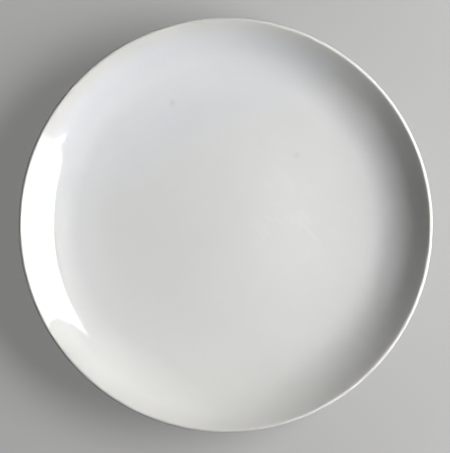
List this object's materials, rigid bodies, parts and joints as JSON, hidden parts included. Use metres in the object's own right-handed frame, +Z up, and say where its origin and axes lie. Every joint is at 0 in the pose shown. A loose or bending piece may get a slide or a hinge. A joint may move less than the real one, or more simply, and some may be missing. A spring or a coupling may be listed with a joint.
{
  "type": "salad plate",
  "caption": "Round rimless coupe salad plate of white glazed porcelain: flat well, wall curving up to a thin round lip, and a bare foot ring under a recessed base.",
  "frame": {"origin": "on the plate's axis, at the level of the table that the foot ring stands on", "axes": "+Z up along the axis of revolution, from the foot ring to the eating face; +X and +Y across the plate"},
  "size_m": [0.21, 0.21, 0.024],
  "materials": {
    "bare_porcelain": "unglazed, matte, fine grained",
    "white_glaze": "clear gloss glaze over white porcelain"
  },
  "bodies": {
    "root": {"porcelain_body": "bare_porcelain", "face_glaze": "white_glaze", "base_glaze": "white_glaze"}
  },
  "joints": []
}
